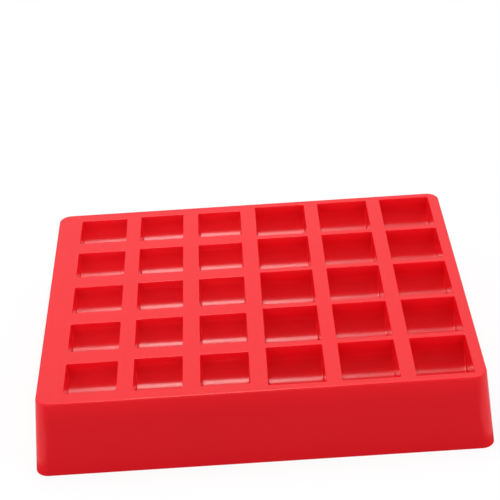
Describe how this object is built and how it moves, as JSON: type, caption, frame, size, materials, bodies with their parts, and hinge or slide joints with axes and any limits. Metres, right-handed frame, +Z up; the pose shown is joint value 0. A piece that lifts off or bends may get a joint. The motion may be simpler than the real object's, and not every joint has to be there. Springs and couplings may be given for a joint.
{
  "type": "coin organizer tray",
  "caption": "Low moulded tray with a grid of scooped coin wells in three sizes, sloping skirt, open underneath.",
  "frame": {"origin": "centre of the base footprint, on the surface that the tray stands on", "axes": "+X to the user's right along the rows of wells, +Y to the back, +Z up"},
  "size_m": [0.219, 0.1886, 0.0388],
  "materials": {
    "red_plastic": "smooth gloss, moulded in one colour"
  },
  "bodies": {
    "root": {"coin_tray": "red_plastic"}
  },
  "joints": []
}
